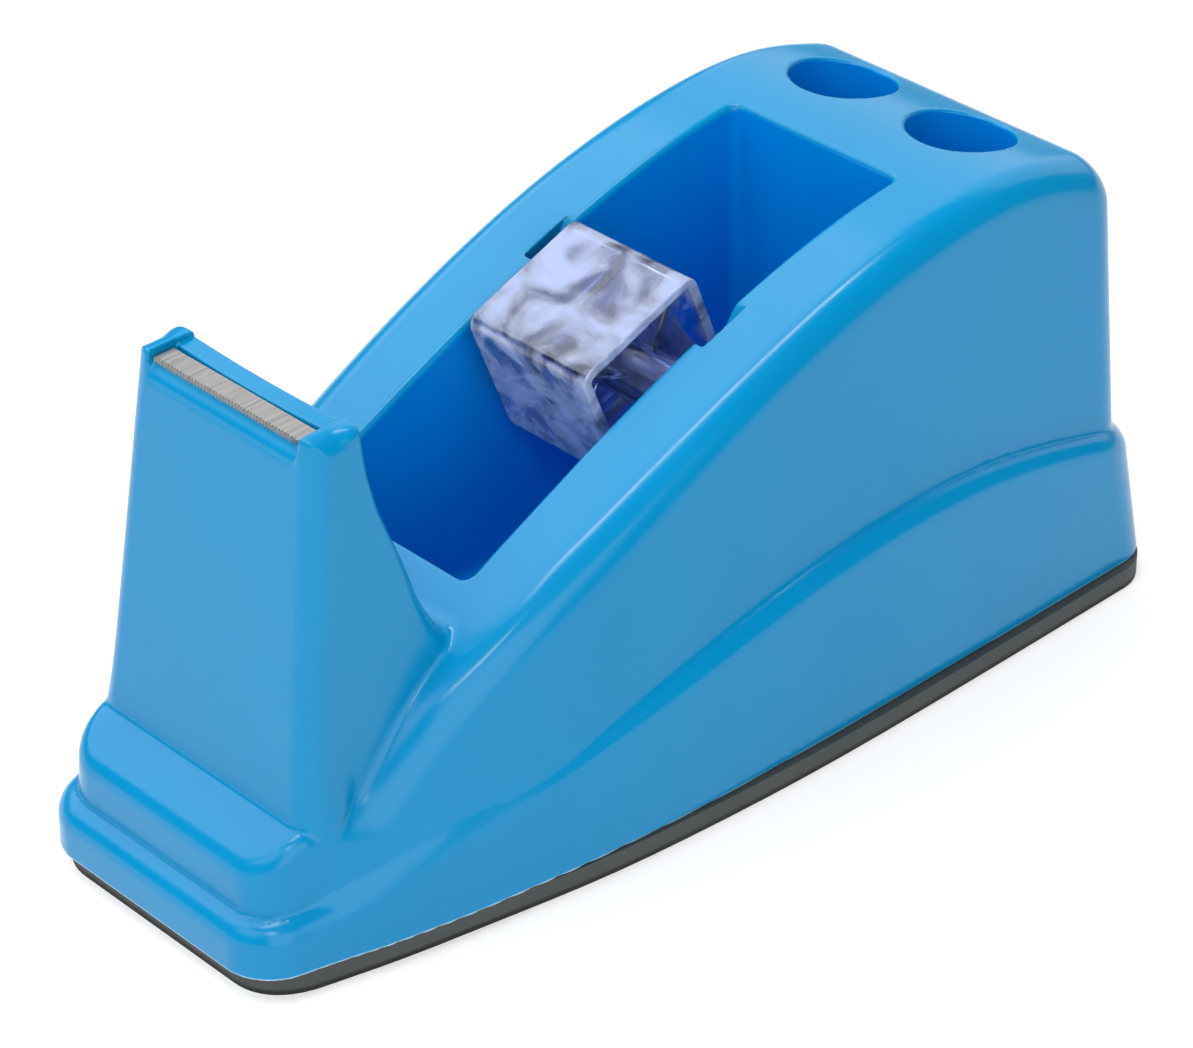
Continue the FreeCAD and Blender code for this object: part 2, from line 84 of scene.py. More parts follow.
panel("overhead_strip", (-0.04, 0.0, 1.0), 0.9, (0.62, 0.10), 18.0)
panel("top_left_panel", (-0.62, -0.10, 0.76), 1.1, (1.3, 1.1), 2.35)
panel("back_panel", (-0.3, 0.8, 0.5), 1.2, (1.4, 0.9), 1.2)
panel("right_front_panel", (0.85, -0.42, 0.3), 1.1, (0.9, 0.9), 2.25)
panel("front_high_panel", (-0.05, -0.75, 0.66), 1.1, (0.7, 0.5), 2.1)
panel("front_softbox", (0.42, -0.52, 0.74), 0.9, (0.16, 0.16), 14.0)


# ------------------------------------------------------------------ materials
def material(name, clear=False):
    """New node material with its shader and output, and a maker of linked nodes."""
    m = bpy.data.materials.new(name)
    m.use_nodes = True
    nt = m.node_tree
    b = nt.nodes["Principled BSDF"]
    return m, nt, b


def node(nt, kind, **settings):
    n = nt.nodes.new(kind)
    for k, v in settings.items():
        if k in n.inputs:
            n.inputs[k].default_value = v
        else:
            setattr(n, k, v)
    return n


def mapped(nt, scale):
    """Object coordinates stretched by scale."""
    t = nt.nodes.new("ShaderNodeTexCoord")
    mp = nt.nodes.new("ShaderNodeMapping")
    mp.inputs["Scale"].default_value = scale
    nt.links.new(t.outputs["Object"], mp.inputs["Vector"])
    return mp.outputs["Vector"]


def noise(nt, vec, scale, detail=3.0, rough=0.5, distortion=0.0):
    n = nt.nodes.new("ShaderNodeTexNoise")
    n.inputs["Scale"].default_value = scale
    n.inputs["Detail"].default_value = detail
    n.inputs["Roughness"].default_value = rough
    n.inputs["Distortion"].default_value = distortion
    nt.links.new(vec, n.inputs["Vector"])
    return n.outputs["Fac"]


def ramp_node(nt, fac, stops):
    """Colour ramp; stops are (position, colour)."""
    r = nt.nodes.new("ShaderNodeValToRGB")
    el = r.color_ramp.elements
    while len(el) < len(stops):
        el.new(0.5)
    for e, (p, c) in zip(el, stops):
        e.position = p
        e.color = c if len(c) == 4 else (*c, 1.0)
    nt.links.new(fac, r.inputs["Fac"])
    return r.outputs["Color"]


def remap(nt, fac, lo, hi, a=0.0, b=1.0):
    n = nt.nodes.new("ShaderNodeMapRange")
    n.inputs["From Min"].default_value, n.inputs["From Max"].default_value = a, b
    n.inputs["To Min"].default_value, n.inputs["To Max"].default_value = lo, hi
    nt.links.new(fac, n.inputs["Value"])
    return n.outputs["Result"]


def bump(nt, height, strength, distance, normal=None):
    n = nt.nodes.new("ShaderNodeBump")
    n.inputs["Strength"].default_value = strength
    n.inputs["Distance"].default_value = distance
    nt.links.new(height, n.inputs["Height"])
    if normal is not None:
        nt.links.new(normal, n.inputs["Normal"])
    return n.outputs["Normal"]


def mix_values(nt, a, b, fac):
    n = nt.nodes.new("ShaderNodeMix")
    n.data_type = "FLOAT"
    n.inputs[0].default_value = fac
    nt.links.new(a, n.inputs[2])
    nt.links.new(b, n.inputs[3])
    return n.outputs[0]


def blue_plastic():
    m, nt, b = material("blue_moulded_plastic")
    v = mapped(nt, (1, 1, 1))
    cloud = noise(nt, v, 28.0, 3.0, 0.55, 0.4)           # faint streaks of the moulding
    open_side = ramp_node(nt, cloud, [(0.25, (0.0, 0.236, 0.505)), (0.75, (0.0, 0.257, 0.540))])
    # painted shade: the well and pen holes get a deeper, more saturated blue, standing in for the shade and blue
    # interreflection inside them
    well_shade_colour = ramp_node(nt, cloud, [(0.25, (0.0, 0.255, 0.74)), (0.75, (0.0, 0.277, 0.78))])   # deeper blue inside the well
    well_shade_node = nt.nodes.new("ShaderNodeAttribute")
    well_shade_node.attribute_name = "painted_well_shade"
    mix = nt.nodes.new("ShaderNodeMix")
    mix.data_type = "RGBA"
    nt.links.new(well_shade_node.outputs["Fac"], mix.inputs[0])
    nt.links.new(open_side, mix.inputs[6])
    nt.links.new(well_shade_colour, mix.inputs[7])
    # painted highlight: the lowest quarter millimetre of the body is coloured pale, standing in for a thin highlight
    # along its lower edge
    sep = nt.nodes.new("ShaderNodeSeparateXYZ")
    nt.links.new(v, sep.inputs["Vector"])
    painted_edge_highlight = remap(nt, sep.outputs["Z"], 1.0, 0.0, 0.00300, 0.00322)
    pale = nt.nodes.new("ShaderNodeMix")
    pale.data_type = "RGBA"
    nt.links.new(painted_edge_highlight, pale.inputs[0])
    nt.links.new(mix.outputs[2], pale.inputs[6])
    pale.inputs[7].default_value = (0.42, 0.66, 0.80, 1.0)
    nt.links.new(pale.outputs[2], b.inputs["Base Color"])
    rough = remap(nt, noise(nt, v, 90.0, 4.0, 0.6), 0.17, 0.26, 0.25, 0.75)
    nt.links.new(rough, b.inputs["Roughness"])
    b.inputs["Specular IOR Level"].default_value = 0.30
    peel = noise(nt, v, 420.0, 2.0, 0.5)
    wave = noise(nt, v, 38.0, 1.0, 0.4)
    n1 = bump(nt, wave, 0.12, 0.0001)
    n2 = bump(nt, peel, 0.05, 0.00002, n1)
    nt.links.new(n2, b.inputs["Normal"])
    b.inputs["IOR"].default_value = 1.5
    return m


def clear_plastic(name="clear_plastic", haze=0.36):
    """Clear styrene, slightly hazy and lavender, its skin in shallow waves."""
    m, nt, b = material(name)
    v = mapped(nt, (1, 1, 1))
    patch = noise(nt, v, 150.0, 2.0, 0.5, 0.6)
    tint = ramp_node(nt, patch, [(0.36, (0.42, 0.51, 0.82)), (0.60, (0.74, 0.82, 1.0))])
    pale_haze_painted_light = nt.nodes.new("ShaderNodeAttribute")              # paler, hazier ends; on the face towards the cutter the paleness is painted light, standing in for light passing through the sleeve
    pale_haze_painted_light.attribute_name = "pale_haze_painted_light"
    mix = nt.nodes.new("ShaderNodeMix")
    mix.data_type = "RGBA"
    uneven = remap(nt, noise(nt, v, 210.0, 2.0, 0.5, 1.2), 0.15, 1.0, 0.42, 0.56)
    pale_haze_painted_light_fac = nt.nodes.new("ShaderNodeMath")
    pale_haze_painted_light_fac.operation = "MULTIPLY"
    nt.links.new(pale_haze_painted_light.outputs["Fac"], pale_haze_painted_light_fac.inputs[0])
    nt.links.new(uneven, pale_haze_painted_light_fac.inputs[1])
    nt.links.new(pale_haze_painted_light_fac.outputs[0], mix.inputs[0])
    nt.links.new(tint, mix.inputs[6])
    # pale lavender: on the face towards the cutter this is painted light, in place of light shining through the
    # sleeve
    mix.inputs[7].default_value = (0.72, 0.78, 0.97, 1.0)
    nt.links.new(mix.outputs[2], b.inputs["Base Color"])
    b.inputs["IOR"].default_value = 1.49
    clarity = remap(nt, patch, 1.0 - 2.0 * haze, 1.0, 0.35, 0.6)
    less = nt.nodes.new("ShaderNodeMath")
    less.operation = "MULTIPLY_ADD"
    nt.links.new(pale_haze_painted_light_fac.outputs[0], less.inputs[0])
    less.inputs[1].default_value = -0.75
    less.inputs[2].default_value = 1.0
    times = nt.nodes.new("ShaderNodeMath")
    times.operation = "MULTIPLY"
    nt.links.new(clarity, times.inputs[0])
    nt.links.new(less.outputs[0], times.inputs[1])
    nt.links.new(times.outputs[0], b.inputs["Transmission Weight"])
    rough = remap(nt, noise(nt, v, 240.0, 3.0), 0.02, 0.10, 0.3, 0.75)
    nt.links.new(rough, b.inputs["Roughness"])
    n1 = bump(nt, noise(nt, v, 160.0, 2.0, 0.5, 0.8), 0.12, 0.0003)
    nt.links.new(n1, b.inputs["Normal"])
    return m


def brushed_steel(name="cutter_strip_steel", grain=(2600, 60, 60), colour=(0.34, 0.338, 0.335)):
    m, nt, b = material(name)
    v = mapped(nt, grain)
    lines = noise(nt, v, 1.0, 4.0, 0.6)
    c = tuple(colour)
    dark = tuple(0.72 * x for x in c)
    nt.links.new(ramp_node(nt, lines, [(0.3, dark), (0.55, c), (0.8, tuple(min(1.0, 1.25 * x) for x in c))]), b.inputs["Base Color"])
    b.inputs["Metallic"].default_value = 1.0
    nt.links.new(remap(nt, lines, 0.32, 0.55, 0.3, 0.7), b.inputs["Roughness"])
    nt.links.new(bump(nt, lines, 0.5, 0.00008), b.inputs["Normal"])
    return m


def sheet_rubber():
    """Dark grey sheet rubber, faintly grained; a painted shadow makes its lower edge almost black."""
    m, nt, b = material("dark_sheet_rubber")
    v = mapped(nt, (1, 1, 1))
    grain = noise(nt, v, 1400.0, 4.0, 0.65)
    blotch = noise(nt, v, 60.0, 3.0, 0.5)
    grey = ramp_node(nt, mix_values(nt, grain, blotch, 0.45), [(0.3, (0.036, 0.044, 0.042)), (0.7, (0.060, 0.072, 0.069))])
    sep = nt.nodes.new("ShaderNodeSeparateXYZ")
    nt.links.new(v, sep.inputs["Vector"])
    # painted shadow: the lowest half millimetre of the edge goes almost black, standing in for the shade along the
    # floor
    edge = remap(nt, sep.outputs["Z"], 0.0, 1.0, 0.00045, 0.00085)
    mix = nt.nodes.new("ShaderNodeMix")
    mix.data_type = "RGBA"
    nt.links.new(edge, mix.inputs[0])
    mix.inputs[6].default_value = (0.004, 0.004, 0.004, 1.0)
    nt.links.new(grey, mix.inputs[7])
    nt.links.new(mix.outputs[2], b.inputs["Base Color"])
    nt.links.new(remap(nt, grain, 0.5, 0.75), b.inputs["Roughness"])
    nt.links.new(bump(nt, grain, 0.35, 0.00006), b.inputs["Normal"])
    return m


def plain_grained(name, dark, light, rough, scale=300.0, metallic=0.0):
    m, nt, b = material(name)
    v = mapped(nt, (1, 1, 1))
    g = noise(nt, v, scale, 4.0, 0.6)
    nt.links.new(ramp_node(nt, g, [(0.3, dark), (0.7, light)]), b.inputs["Base Color"])
    nt.links.new(remap(nt, g, rough - 0.08, rough + 0.1), b.inputs["Roughness"])
    b.inputs["Metallic"].default_value = metallic
    nt.links.new(bump(nt, g, 0.3, 0.0001), b.inputs["Normal"])
    return m


def dress(ob, mat):
    """Gives the object this one material."""
    ob.data.materials.clear()
    ob.data.materials.append(mat)


# floor: plain, pale, slightly self-lit like a light table so that it stays white
fm, fnt, fb = material("pale_floor")
fv = mapped(fnt, (1, 1, 1))
fnt.links.new(ramp_node(fnt, noise(fnt, fv, 8.0, 2.0), [(0.3, (0.59, 0.59, 0.595)), (0.7, (0.61, 0.61, 0.615))]), fb.inputs["Base Color"])
fb.inputs["Roughness"].default_value = 0.95
fb.inputs["Specular IOR Level"].default_value = 0.1
fb.inputs["Emission Color"].default_value = (1.0, 1.0, 1.0, 1.0)
fb.inputs["Emission Strength"].default_value = 0.45
me = bpy.data.meshes.new("floor")
R = 4.0
me.from_pydata([(R * math.cos(a), R * math.sin(a), 0.0) for a in np.linspace(0, 2 * math.pi, 64, endpoint=False)], [], [list(range(64))])
floor = bpy.data.objects.new("floor", me)
scene.collection.objects.link(floor)
dress(floor, fm)


# ------------------------------------------------------------------ the moulded body
# Worked in millimetres: y from the front edge of the body, z from its lower edge.
DY, DZ = 70.25, 2.8              # from there to the frame's origin

BODY_LEN, WALL = 140.3, 2.2
SIDE_DRAFT, SKIRT_DRAFT, SKIRT_REAR_DRAFT = 0.09, 0.035, 0.06


def spline(points):
    """Natural cubic through the points, as a function that gives value and slope."""
    xs = np.array([p[0] for p in points], float)
    ys = np.array([p[1] for p in points], float)
    n = len(xs)
    h = np.diff(xs)
    a = np.zeros((n, n))
    b = np.zeros(n)
    a[0, 0] = a[-1, -1] = 1.0
    for i in range(1, n - 1):
        a[i, i - 1], a[i, i], a[i, i + 1] = h[i - 1], 2 * (h[i - 1] + h[i]), h[i]
        b[i] = 6 * ((ys[i + 1] - ys[i]) / h[i] - (ys[i] - ys[i - 1]) / h[i - 1])
    m = np.linalg.solve(a, b)

    def f(x):
        x = np.clip(x, xs[0], xs[-1])
        i = np.clip(np.searchsorted(xs, x) - 1, 0, n - 2)
        hi, x0, x1 = h[i], xs[i], xs[i + 1]
        u, v = x1 - x, x - x0
        val = (m[i] * u ** 3 + m[i + 1] * v ** 3) / (6 * hi) + (ys[i] / hi - m[i] * hi / 6) * u + (ys[i + 1] / hi - m[i + 1] * hi / 6) * v
        der = (-m[i] * u ** 2 + m[i + 1] * v ** 2) / (2 * hi) + (ys[i + 1] - ys[i]) / hi - (m[i + 1] - m[i]) * hi / 6
        return val, der

    return f


def rim_poly(y):
    t = (y - 65.1) / 46.5
    return 47.183 + 19.817 * t - 4.918 * t * t - 2.706 * t ** 3


rim = spline([(-8.0, 16.3), (2.0, 16.4), (8.7, 16.6), (13.0, 16.85), (16.3, 17.95), (19.35, 20.4), (22.3, 23.2), (25.8, 26.45),
              (29.6, 29.3), (33.5, 31.9)] + [(y, rim_poly(y)) for y in (38.1, 44.6, 55.8, 65.1, 74.4, 83.7, 93.0, 102.3)]
             + [(109.7, 59.3), (117.2, 59.4), (124.6, 58.4), (132.1, 56.4), (150.0, 50.1)])
skirt_top = spline([(-8.0, 6.2), (-2.0, 6.3), (3.7, 6.5), (10.2, 7.35), (17.7, 9.3), (25.5, 11.55), (38.1, 14.5), (45.6, 16.4), (57.7, 19.25),
                    (69.8, 21.95), (80.9, 23.8), (95.8, 24.9), (107.9, 24.45), (118.1, 22.9), (130.2, 19.9), (150.0, 14.0)])
skirt_half = spline([(-6.0, 18.2), (0.0, 19.55), (8.0, 21.5), (16.3, 23.75), (27.5, 25.95), (43.9, 28.75), (59.1, 30.25), (80.0, 31.15),
                     (102.3, 31.48), (131.6, 31.57), (150.0, 31.57)])
upper_half = spline([(-6.0, 16.7), (0.0, 18.0), (9.3, 20.1), (16.3, 21.75), (25.6, 24.45), (34.9, 26.7), (44.2, 28.2), (58.6, 29.4),
                     (76.3, 30.05), (100.4, 30.4), (128.8, 30.4), (150.0, 30.4)])
rim_round = spline([(-6.0, 1.5), (6.0, 1.6), (11.0, 2.6), (15.0, 4.0), (20.0, 4.6), (24.0, 4.7), (30.0, 4.8), (36.0, 4.8), (50.0, 4.6), (65.0, 4.1), (78.0, 3.8), (100.0, 3.9), (118.0, 3.9), (126.0, 4.3), (133.0, 5.2), (150.0, 5.6)])


def cut_round(a, b, r):
    """Intersection of two solids, its edge rounded."""
    u = np.maximum(r + a, 0.0)
    v = np.maximum(r + b, 0.0)
    return np.minimum(-r, np.maximum(a, b)) + np.sqrt(u * u + v * v)


def join_round(a, b, r):
    """Union of two solids with a fillet between them."""
    u = np.maximum(r - a, 0.0)
    v = np.maximum(r - b, 0.0)
    return np.maximum(r, np.minimum(a, b)) - np.sqrt(u * u + v * v)


def poly_distance(px, py, poly):
    """Signed distance to a closed polygon, negative inside."""
    px, py = np.broadcast_arrays(px, py)
    best = np.full(px.shape, 1e18)
    inside = np.zeros(px.shape, bool)
    n = len(poly)
    for i in range(n):
        ax, ay = poly[i]
        bx, by = poly[(i + 1) % n]
        ex, ey = bx - ax, by - ay
        wx, wy = px - ax, py - ay
        t = np.clip((wx * ex + wy * ey) / (ex * ex + ey * ey + 1e-18), 0.0, 1.0)
        best = np.minimum(best, (wx - t * ex) ** 2 + (wy - t * ey) ** 2)
        if ay != by:
            inside ^= ((ay > py) != (by > py)) & (px < (bx - ax) * (py - ay) / (by - ay) + ax)
    return np.where(inside, -1.0, 1.0) * np.sqrt(best)


def smooth_path(points, per=5):
    """Catmull-Rom through the points."""
    p = np.array([points[0]] + list(points) + [points[-1]], float)
    out = []
    for i in range(1, len(p) - 2):
        for k in range(per):
            t = k / per
            out.append(0.5 * ((2 * p[i]) + (-p[i - 1] + p[i + 1]) * t + (2 * p[i - 1] - 5 * p[i] + 4 * p[i + 1] - p[i + 2]) * t * t
                              + (-p[i - 1] + 3 * p[i] - 3 * p[i + 1] + p[i + 2]) * t ** 3))
    out.append(p[-2])
    return [(float(q[0]), float(q[1])) for q in out]


TOWER_BACK = smooth_path([(22.2, 63.0), (22.45, 60.5), (22.6, 58.2), (22.95, 55.7), (23.9, 51.5), (25.05, 48.1), (26.65, 43.6), (28.65, 38.0),
                          (30.75, 33.9), (32.7, 31.3), (38.13, 27.5)])
TOWER_FOOT_Y, TOWER_TOP_Y, TOWER_TOP_Z = 8.85, 15.7, 63.0
LEAN = (TOWER_TOP_Y - TOWER_FOOT_Y) / (TOWER_TOP_Z - 16.6)
TOWER_SIDE = [(TOWER_FOOT_Y - LEAN * 6.6, 10.0), (TOWER_TOP_Y, TOWER_TOP_Z)] + TOWER_BACK + [(38.13, 10.0)]
WELL_HALF = 13.5
WELL = [(38.1, 110.0), (38.1, 34.9)] + [(62.3 - 24.2 * math.cos(a), 34.9 - 24.2 * math.sin(a)) for a in np.linspace(0.06, math.pi / 2, 16)] + [(108.3, 10.7), (108.3, 110.0)]
AXLE_Y, AXLE_Z = 72.2, 44.2
GROOVE_ANGLE = math.radians(54.8)
PEN_X, PEN_Y, PEN_R, PEN_FLOOR = 9.9, 123.8, 6.9, 8.4
SEAT_Z, SEAT_HALF, SEAT_REAR, BLADE_REAR = 61.3, 12.6, 19.7, 19.0
POSTS = ((11.6, 26.0), (22.3, 119.0))


def ramp(x, a, b):
    t = np.clip((x - a) / (b - a), 0.0, 1.0)
    return t * t * (3 - 2 * t)


def body_distance(x, y, z, tower, well):
    """Distance to the surface of the moulded body, negative in the plastic. tower and well are the distances to the
    two side profiles at the same places."""
    ax = np.sqrt(x * x + 1e-6)
    # upper body: drafted walls under the rim curve, with the sloping collar at the front
    half, slope = upper_half(y)
    foot = skirt_top(y)[0]
    flare = 1.4 * ramp(y, 7.0, 16.0) * (1.0 - 0.5 * ramp(y, 16.0, 38.0)) * ramp(y, 58.0, 38.0)
    half = half + flare * np.exp(-np.maximum(z - foot, 0.0) / 5.0)
    side = (ax - half + SIDE_DRAFT * z) / np.sqrt(1 + slope ** 2 + SIDE_DRAFT ** 2)
    wall = cut_round(side, y - (137.3 - 0.01 * z), 5.5)
    wall = cut_round(wall, (2.3 + 0.03 * z) - y, 4.6)
    h, dh = rim(y)
    top = (z - h) / np.sqrt(1 + dh ** 2)
    collar = (z - (16.6 - 0.62 * (8.7 - y))) / math.sqrt(1 + 0.62 ** 2)
    top = cut_round(top, collar, 1.2)
    upper = cut_round(wall, top, rim_round(y)[0])
    # skirt round the foot
    half, slope = skirt_half(y)
    side = (ax - half + SKIRT_DRAFT * z) / np.sqrt(1 + slope ** 2)
    skirt_wall = cut_round(side, y - (BODY_LEN - SKIRT_REAR_DRAFT * z), 5.4 + 0.2 * np.clip(z, 0.0, 30.0))
    skirt_wall = cut_round(skirt_wall, 0.02 * z - y, 5.2)
    h, dh = skirt_top(y)
    ledge = (z - h + 0.12 * np.clip(skirt_wall, -3.0, 0.0)) / np.sqrt(1.015 + dh ** 2)
    skirt = cut_round(skirt_wall, ledge, 2.3)
    d = join_round(upper, skirt, 0.3 + 0.9 * ramp(y, 40.0, 24.0) * ramp(y, 6.0, 12.0))
    # cutter tower
    wide = 18.1 - (z - 16.6) * (18.1 - 15.6) / (TOWER_TOP_Z - 16.6)
    # its foot spreads to lie flush with the body's side at the front
    gap = np.maximum(upper_half(y)[0] - SIDE_DRAFT * z - wide, 0.0)
    wide = wide + gap * np.exp(-np.maximum(z - rim(y)[0], 0.0) / 4.5) * ramp(y, 17.0, 12.0)
    face = TOWER_FOOT_Y + LEAN * (z - 16.6)
    behind = ramp(y - face, 3.4, 6.0)
    r = 2.9 + (1.1 + 1.2 * ramp(z, 46.0, 30.0) - 2.9) * behind
    t = cut_round(tower, ax - wide, r)
    t = np.maximum(t, 12.0 - z)
    # the cheeks' crowns and the low bar behind the blade
    crown = z - (63.0 - 0.012 * (y - 18.4) ** 2 - 0.11 * np.maximum(ax - 13.2, 0.0) ** 2)
    t = cut_round(t, crown, 0.75)
    bar = z - (61.95 - 0.42 * (1 - (ax / SEAT_HALF) ** 2))
    inner = np.maximum(ax - SEAT_HALF, 14.0 - y)
    t = cut_round(t, -np.maximum(inner, -bar), 0.32)
    # seat of the blade and the slot behind it
    seat = np.maximum(np.maximum(ax - SEAT_HALF, SEAT_Z - z), y - SEAT_REAR)
    slot = np.maximum(np.maximum(ax - SEAT_HALF, SEAT_Z - 1.7 - z), np.abs(y - (BLADE_REAR - 0.62 + SEAT_REAR) / 2) - (SEAT_REAR - BLADE_REAR + 0.62) / 2)
    tang = np.maximum(np.maximum(ax - SEAT_HALF + 1.9, SEAT_Z - 5.9 - z), np.abs(y - (BLADE_REAR - 0.3)) - 0.4)
    t = cut_round(t, -seat, 0.25)
    t = np.maximum(t, -slot)
    t = np.maximum(t, -tang)
    # relief under the teeth, fading downwards
    cove = y - (face + 1.15 * ramp(z, 59.3, 61.6))
    cove = cut_round(cove, cut_round(ax - SEAT_HALF + 0.1, 59.0 - z, 0.4), 0.4)
    t = cut_round(t, -cove, 0.35)
    outer = join_round(d, t, 0.4 + 0.5 * ramp(y, 12.0, 20.0) + 1.0 * ramp(y, 24.0, 30.0) * ramp(ax, 17.2, 15.6))
    # opened from above: the tape well, the pen holes, the slanted grooves of the pin
    w = cut_round(ax - WELL_HALF, well, 1.5)
    d = cut_round(outer, -w, 0.8)
    pen = np.sqrt((ax - PEN_X) ** 2 + (y - PEN_Y) ** 2) - PEN_R
    p = cut_round(pen, PEN_FLOOR - z, 0.8)
    d = cut_round(d, -p, 0.45)
    u = (y - AXLE_Y) * math.cos(GROOVE_ANGLE) + (z - AXLE_Z) * math.sin(GROOVE_ANGLE)
    v = -(y - AXLE_Y) * math.sin(GROOVE_ANGLE) + (z - AXLE_Z) * math.cos(GROOVE_ANGLE)
    groove = np.where(u < 0, np.sqrt(u * u + v * v), np.abs(v)) - 2.07
    g = cut_round(groove, ax - (WELL_HALF + 1.65), 0.2)
    d = cut_round(d, -np.maximum(g, 12.5 - ax), 0.22)
    # hollow underneath, round the well, the pen holes, the grooves and the screw posts
    hollow = np.maximum(outer + WALL, WALL - w)
    hollow = np.maximum(hollow, 1.8 - pen)
    hollow = np.maximum(hollow, 1.5 - np.maximum(groove, ax - (WELL_HALF + 1.65)))
    for px, py in POSTS:
        post = np.sqrt((ax - px) ** 2 + (y - py) ** 2) - 3.2
        hollow = np.maximum(hollow, -np.maximum(post, 2.0 - z))
    d = np.maximum(d, -hollow)
    for px, py in POSTS:
        pilot = np.maximum(np.sqrt((ax - px) ** 2 + (y - py) ** 2) - 1.2, z - 11.0)
        d = np.maximum(d, -pilot)
    return cut_round(d, -z, 0.35)


# ------------------------------------------------------------------ distance function to mesh
def grid_line(*runs):
    """Coordinates from runs of (start, end, step)."""
    out = []
    for a, b, h in runs:
        n = max(1, int(round((b - a) / h)))
        out += list(a + (b - a) * np.arange(n) / n)
    out.append(runs[-1][1])
    return np.array(out)


def profile_lookup(poly, ys, zs):
    """Distance to a profile on the grid's y-z plane."""
    return poly_distance(ys[:, None], zs[None, :], poly)


def evaluate(p):
    return body_distance(p[:, 0], p[:, 1], p[:, 2], poly_distance(p[:, 1], p[:, 2], TOWER_SIDE), poly_distance(p[:, 1], p[:, 2], WELL))


def gradient(p, e):
    g = np.empty_like(p)
    for k in range(3):
        d = np.zeros(3)
        d[k] = e
        g[:, k] = (evaluate(p + d) - evaluate(p - d)) / (2 * e)
    return g


def surface_nets(xs, ys, zs):
    """Quads of the zero surface on a grid whose lines are unevenly spaced, finer at the small details."""
    tower = profile_lookup(TOWER_SIDE, ys, zs)
    well = profile_lookup(WELL, ys, zs)
    f = np.empty((len(xs), len(ys), len(zs)), np.float32)
    for i, x in enumerate(xs):
        f[i] = body_distance(np.full(tower.shape, x), ys[:, None] + 0 * tower, zs[None, :] + 0 * tower, tower, well)
    inside = f < 0
    nx, ny, nz = len(xs) - 1, len(ys) - 1, len(zs) - 1
    total = np.zeros((nx, ny, nz, 3), np.float32)
    count = np.zeros((nx, ny, nz), np.int16)
    grids = (xs, ys, zs)
    for axis in range(3):
        lo = [slice(None)] * 3
        hi = [slice(None)] * 3
        lo[axis], hi[axis] = slice(0, -1), slice(1, None)
        cross = inside[tuple(lo)] != inside[tuple(hi)]
        idx = np.argwhere(cross)
        a = f[tuple(lo)][cross]
        b = f[tuple(hi)][cross]
        t = a / (a - b)
        pos = np.stack([grids[k][idx[:, k]] for k in range(3)], 1)
        g = grids[axis]
        pos[:, axis] = g[idx[:, axis]] + t * (g[idx[:, axis] + 1] - g[idx[:, axis]])
        o = [k for k in range(3) if k != axis]
        for da in (0, -1):
            for db in (0, -1):
                c = idx.copy()
                c[:, o[0]] += da
                c[:, o[1]] += db
                ok = (c[:, o[0]] >= 0) & (c[:, o[1]] >= 0) & (c[:, o[0]] < (nx, ny, nz)[o[0]]) & (c[:, o[1]] < (nx, ny, nz)[o[1]]) & (c[:, axis] < (nx, ny, nz)[axis])
                cc = c[ok]
                np.add.at(total, (cc[:, 0], cc[:, 1], cc[:, 2]), pos[ok])
                np.add.at(count, (cc[:, 0], cc[:, 1], cc[:, 2]), 1)
    used = count > 0
    number = np.full((nx, ny, nz), -1, np.int64)
    number[used] = np.arange(int(used.sum()))
    verts = (total[used] / count[used][:, None]).astype(np.float64)
    quads = []
    for axis in range(3):
        lo = [slice(None)] * 3
        hi = [slice(None)] * 3
        lo[axis], hi[axis] = slice(0, -1), slice(1, None)
        cross = inside[tuple(lo)] != inside[tuple(hi)]
        idx = np.argwhere(cross)
        o = [k for k in range(3) if k != axis]
        ok = np.ones(len(idx), bool)
        for k in o:
            ok &= (idx[:, k] >= 1) & (idx[:, k] < (nx, ny, nz)[k])
        idx = idx[ok]
        out = inside[tuple(lo)][tuple(idx.T)]
        corner = []
        for da, db in ((-1, -1), (0, -1), (0, 0), (-1, 0)):
            c = idx.copy()
            c[:, o[0]] += da
            c[:, o[1]] += db
            corner.append(number[c[:, 0], c[:, 1], c[:, 2]])
        q = np.stack(corner, 1)
        flip = out if axis != 1 else ~out
        q[~flip] = q[~flip][:, ::-1]
        quads.append(q)
    return verts, np.concatenate(quads)


def body_mesh():
    xs = grid_line((0.35, 11.4, 0.565), (11.4, 16.2, 0.32), (16.2, 33.2, 0.57))
    xs = np.concatenate([[-0.35], xs])
    ys = grid_line((-1.0, 13.6, 0.56), (13.6, 23.2, 0.3), (23.2, 68.0, 0.58), (68.0, 90.0, 0.5), (90.0, 141.6, 0.58))
    zs = grid_line((-0.5, 1.0, 0.25), (1.0, 40.0, 0.56), (40.0, 56.4, 0.5), (56.4, 64.2, 0.3))
    v, q = surface_nets(xs, ys, zs)
    v[np.abs(v[:, 0]) < 0.3, 0] = 0.0
    middle = v[:, 0] == 0.0
    # pull the points onto the surface
    start = v.copy()
    d = evaluate(v)
    for _ in range(3):
        g = gradient(v, 0.04)
        step = np.clip(d / np.maximum((g * g).sum(1), 0.3), -0.2, 0.2)
        w = v - step[:, None] * g
        w[middle, 0] = 0.0
        w = start + np.clip(w - start, -0.25, 0.25)
        dw = evaluate(w)
        better = np.abs(dw) < np.abs(d)
        v[better], d[better] = w[better], dw[better]
    # mirror the half, sharing the points in the middle plane
    n = len(v)
    other = np.arange(n) + n
    other[middle] = np.arange(n)[middle]
    keep = np.concatenate([np.ones(n, bool), ~middle])
    v2 = v.copy()
    v2[:, 0] *= -1
    allv = np.concatenate([v, v2])
    allq = np.concatenate([q, other[q][:, ::-1]])
    used = np.zeros(2 * n, bool)
    used[allq.ravel()] = True
    number = np.cumsum(used) - 1
    return allv[used], number[allq]


